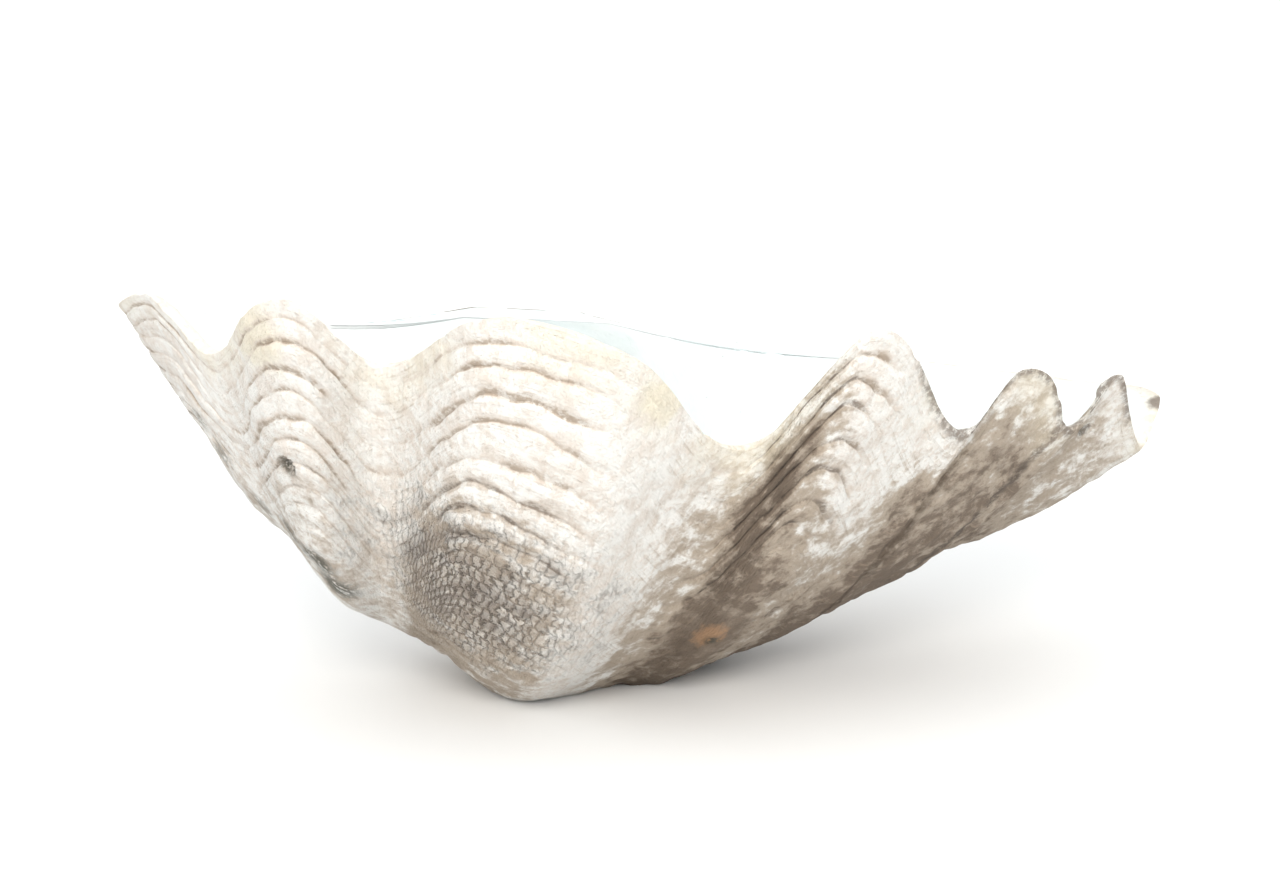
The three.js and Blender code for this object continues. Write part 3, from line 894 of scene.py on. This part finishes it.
def chalky_outside(tree):
    place, along, stage, fold = growth_coordinates(tree)
    grime_and_shade, within, stain_and_shade = (attribute(tree, name) for name in ("grime_and_shade", "within", "stain_and_shade"))
    broad, blotch, mottle, grain = (
        noise_field(tree, place, *pattern) for pattern in (BROAD, BLOTCH, MOTTLE, GRAIN)
    )
    lines, riblets, bands = (
        growth_field(tree, along, stage, *pattern) for pattern in (GROWTH_LINES, RIBLETS, BANDS)
    )

    # Chalk, and the stain that spreads over it, which also paints shade lower down and underneath
    uneven = add_share(tree, blotch, UNEVEN_BY_BLOTCH, UNEVEN_START)
    uneven = add_share(tree, mottle, UNEVEN_BY_MOTTLE, uneven)
    uneven = add_share(tree, lines, UNEVEN_BY_LINES, uneven)
    spread = add_share(tree, uneven, ramp(tree, stain_and_shade, *UNEVEN_BY_STAIN), stain_and_shade)
    spread = maths(tree, "SUBTRACT", spread, ramp(tree, grime_and_shade, *PALE_LIPS))
    colour = mix(tree, ramp(tree, blotch, *PINK_PATCHES), CHALK, PINKISH)
    flecks = times(tree, ramp(tree, mottle, *FLECKS), ramp(tree, stain_and_shade, *FLECKS_BY_STAIN))
    colour = mix(tree, flecks, colour, PINKISH)
    streaks = times(tree, ramp(tree, riblets, *STREAKS), ramp(tree, blotch, *STREAK_PATCHES))
    colour = mix(tree, streaks, colour, PINKISH)
    # Beige and brown carry the stain and also the painted shade lower down and underneath.
    colour = mix(tree, ramp(tree, spread, *BEIGE_STAIN_AND_SHADE), colour, BEIGE)
    colour = mix(tree, ramp(tree, spread, *BROWN_STAIN_AND_SHADE), colour, BROWN)

    # Thin growth lines and yellowed places
    thin = times(
        tree,
        ramp(tree, lines, *THIN_LINES),
        ramp(tree, mottle, *THIN_LINE_PATCHES),
        ramp(tree, fold, *THIN_LINES_BY_FOLD),
        ramp(tree, stain_and_shade, *THIN_LINES_BY_STAIN),
    )
    colour = mix(tree, thin, colour, LINE)
    yellowed = times(tree, ramp(tree, stage, *YELLOW_RIM), ramp(tree, broad, *YELLOW_PATCHES))
    colour = mix(tree, yellowed, colour, CREAM)
    for spot, radius in YELLOW_SPOTS:
        yellowed = times(tree, near_spot(tree, place, spot, radius, blotch), YELLOW_SPOT_STRENGTH)
        colour = mix(tree, yellowed, colour, CREAM)

    # Beads low on the middle fold
    bent_along = bent(tree, along, blotch, mottle, BEAD_BENDS_ALONG)
    bent_stage = bent(tree, stage, blotch, mottle, BEAD_BENDS_UP)
    beads, recess = bead_pattern(tree, scaled(tree, bent_along, BEAD_SCALE, bent_stage, BEAD_SCALE))
    grey = near_spot(tree, place, GREY_FOLD, GREY_FOLD_RADIUS, blotch, GREY_FOLD_CORE)
    colour = mix(tree, times(tree, grey, ramp(tree, mottle, *BEAD_PATCHES)), colour, beads)
    hatch = times(tree, maths(tree, "MAXIMUM", grey, HATCH_ELSEWHERE), ramp(tree, riblets, *HATCH))
    colour = mix(tree, hatch, colour, GROOVE)
    top_row = times(tree, ramp(tree, stage, *TOP_ROW_FOOT), ramp(tree, stage, *TOP_ROW_HEAD))
    row_dirt = maths(tree, "MAXIMUM", ramp(tree, bands, *BAND_DIRT), top_row)
    colour = mix(tree, times(tree, grey, row_dirt), colour, GROOVE)

    # Dirt under the lips of the ledges, with a pinkish border that is partly painted shade
    patchy = ramp(tree, mottle, *LEDGE_PATCHES)
    # Pinkish border round the ledge dirt: partly dirt, partly painted shade under the lips.
    border = times(
        tree, ramp(tree, grime_and_shade, *LEDGE_BORDER_DIRT_AND_SHADE), patchy, ramp(tree, stain_and_shade, *LEDGE_BORDER_DIRT_AND_SHADE_BY_STAIN)
    )
    colour = mix(tree, border, colour, PINKISH)
    deep = mix(tree, ramp(tree, stain_and_shade, *DARK_LEDGES_BY_STAIN), LINE, GROOVE)
    deep = mix(tree, ramp(tree, stain_and_shade, *DARKEST_LEDGES_BY_STAIN), deep, CREVICE)
    colour = mix(tree, times(tree, ramp(tree, grime_and_shade, *LEDGE_DIRT), patchy), colour, deep)

    # Scar, moss, the pale edge, and painted shade on the rim's edge and at the right end
    for radius, strength, shade in SCAR_RINGS:
        ring = times(tree, near_spot(tree, place, SCAR, radius, mottle), strength)
        colour = mix(tree, ring, colour, shade)
    mossy = ramp(tree, mottle, *MOSS_PATCHES)
    for station, size, radius, strength in DARK_SPOTS:
        spot = as_it_lies(outside(np.array(station), np.array(size)))
        dark = times(tree, near_spot(tree, place, spot, radius, mottle), mossy, strength)
        colour = mix(tree, dark, colour, DARK_MOSS)
    colour = mix(tree, within, colour, EDGE_WHITE)
    # Painted shade along the rim's edge on the right-hand folds.
    start, full, last, end = (np.interp(DARK_RIM, PLACES, ALONG) * MM).tolist()
    rim_edge_shade = times(
        tree,
        ramp(tree, along, start, full),
        ramp(tree, along, end, last),
        ramp(tree, stage, *RIM_EDGE_SHADE),
        ramp(tree, mottle, *RIM_EDGE_SHADE_PATCHES),
    )
    colour = mix(tree, rim_edge_shade, colour, GROOVE)
    # Painted shade: a dark spot on the right end's rim edge.
    end_shade = near_spot(tree, place, END_SHADE, END_SHADE_RADIUS, blotch)
    colour = mix(tree, times(tree, end_shade, END_SHADE_STRENGTH), colour, GROOVE)

    bead = times(tree, maths(tree, "SUBTRACT", 1.0, recess), grey)
    heights = (lines, mottle, riblets, bead, grain)
    return colour, CHALK_ROUGHNESS, zip(heights, OUTSIDE_DEPTHS)


def smooth_inside(tree):
    place, along, stage, _ = growth_coordinates(tree)
    broad, dents, specks = (
        noise_field(tree, place, *pattern) for pattern in (BOWL_BROAD, BOWL_DENTS, BOWL_SPECKS)
    )
    rings = growth_field(tree, along, stage, *BOWL_RINGS)
    # Painted shade: cool blue-grey patches in the bowl, standing for sky-lit shade.
    colour = mix(tree, ramp(tree, broad, *PAINTED_COOL_SHADE_PATCHES), INSIDE_WHITE, INSIDE_PAINTED_COOL_SHADE)
    colour = mix(tree, ramp(tree, rings, *RING_MARKS), colour, INSIDE_WARM)
    muscle = near_spot(tree, place, MUSCLE_SCAR, MUSCLE_SCAR_RADIUS, broad)
    colour = mix(tree, times(tree, muscle, MUSCLE_SCAR_STRENGTH), colour, INSIDE_WARM)
    from_line = maths(tree, "ABSOLUTE", maths(tree, "SUBTRACT", stage, MANTLE_LINE))
    mantle = ramp(tree, from_line, *MANTLE_LINE_BREADTH)
    colour = mix(tree, times(tree, mantle, MANTLE_LINE_STRENGTH), colour, INSIDE_WARM)
    yellowed = times(
        tree, ramp(tree, stage, *BOWL_YELLOW_RIM), ramp(tree, broad, *BOWL_YELLOW_PATCHES)
    )
    colour = mix(tree, yellowed, colour, EDGE_WHITE)
    colour = mix(tree, ramp(tree, specks, *SPECK_MARKS), colour, GREY)
    dashes = times(tree, attribute(tree, "grime_and_shade"), ramp(tree, dents, *LIGAMENT_MARKS))
    colour = mix(tree, dashes, colour, SLATE)
    heights = (rings, dents, mantle, muscle)
    return colour, ramp(tree, broad, *BOWL_ROUGHNESS), zip(heights, INSIDE_DEPTHS)


def dress(shell):
    """Outside faces take the chalky finish, bowl and hinge the smooth one."""
    shell.data.materials.append(finish("shell_outside", chalky_outside))
    shell.data.materials.append(finish("shell_inside", smooth_inside))
    within = np.empty(len(shell.data.vertices), np.float32)
    shell.data.attributes["within"].data.foreach_get("value", within)
    polygons = shell.data.polygons
    inside = [int(within[list(face.vertices)].min() >= INSIDE_FROM) for face in polygons]
    polygons.foreach_set("material_index", inside)
    shell.data.update()


# Stage

def make_floor():
    """Pale sweep: a floor whose far end curves up into a wall."""
    floor, row, column = add_map(1, SWEEP_ROWS, "floor")
    arc = SWEEP_CURVE * math.pi / 2
    run = row / SWEEP_ROWS * (SWEEP_FLAT + arc + SWEEP_WALL)
    turn = np.clip((run - SWEEP_FLAT) / SWEEP_CURVE, 0, math.pi / 2)
    depth = np.minimum(run, SWEEP_FLAT) - SWEEP_FRONT + SWEEP_CURVE * np.sin(turn)
    height = SWEEP_CURVE * (1 - np.cos(turn)) + np.clip(run - SWEEP_FLAT - arc, 0, None)
    put(floor, np.stack(((column - 0.5) * SWEEP_WIDTH, depth, height), axis=1))
    only(floor)
    bpy.ops.object.shade_smooth()
    material = bpy.data.materials.new("pale_floor")
    material.use_nodes = True
    shader = material.node_tree.nodes["Principled BSDF"]
    shader.inputs["Base Color"].default_value = FLOOR_COLOUR
    shader.inputs["Roughness"].default_value = FLOOR_ROUGHNESS
    floor.data.materials.append(material)


def make_camera():
    """Camera as the photo was taken: a little above the rim, from the left of the front."""
    rise, heading = math.radians(CAMERA_RISE), math.radians(CAMERA_HEADING)
    back = Vector((0, -math.cos(rise), math.sin(rise)))
    place = Matrix.Rotation(-heading, 3, "Z") @ (Vector(CAMERA_TARGET) + CAMERA_DISTANCE * back)
    bpy.ops.object.camera_add(rotation=(math.pi / 2 - rise, 0, -heading))
    camera = bpy.context.object
    camera.location = (place + Vector(BEAK)) * MM
    camera.data.sensor_width = CAMERA_SENSOR
    camera.data.lens = CAMERA_LENS
    camera.data.shift_y = CAMERA_SHIFT
    bpy.context.scene.camera = camera


def shine(place, target, size, power):
    bpy.ops.object.light_add(type="AREA")
    light = bpy.context.object
    light.location = place
    light.rotation_euler = (Vector(target) - Vector(place)).to_track_quat("-Z", "Y").to_euler()
    light.data.size = size
    light.data.energy = power
    light.data.color = LIGHT_COLOUR


def make_light():
    """One soft light from the left of the front, one on the sweep, and an even sky."""
    shine(KEY_PLACE, KEY_TARGET, KEY_SIZE, KEY_POWER)
    shine(SWEEP_LIGHT_PLACE, SWEEP_LIGHT_TARGET, SWEEP_LIGHT_SIZE, SWEEP_LIGHT_POWER)
    world = bpy.data.worlds.new("studio")
    world.use_nodes = True
    background = world.node_tree.nodes["Background"]
    background.inputs["Color"].default_value = SKY_COLOUR
    background.inputs["Strength"].default_value = SKY_STRENGTH
    bpy.context.scene.world = world
    bpy.context.scene.view_settings.view_transform = "Standard"


shell = make_shell()
dress(shell)
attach(shell, "root")
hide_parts("half_shell")
make_floor()
make_camera()
make_light()
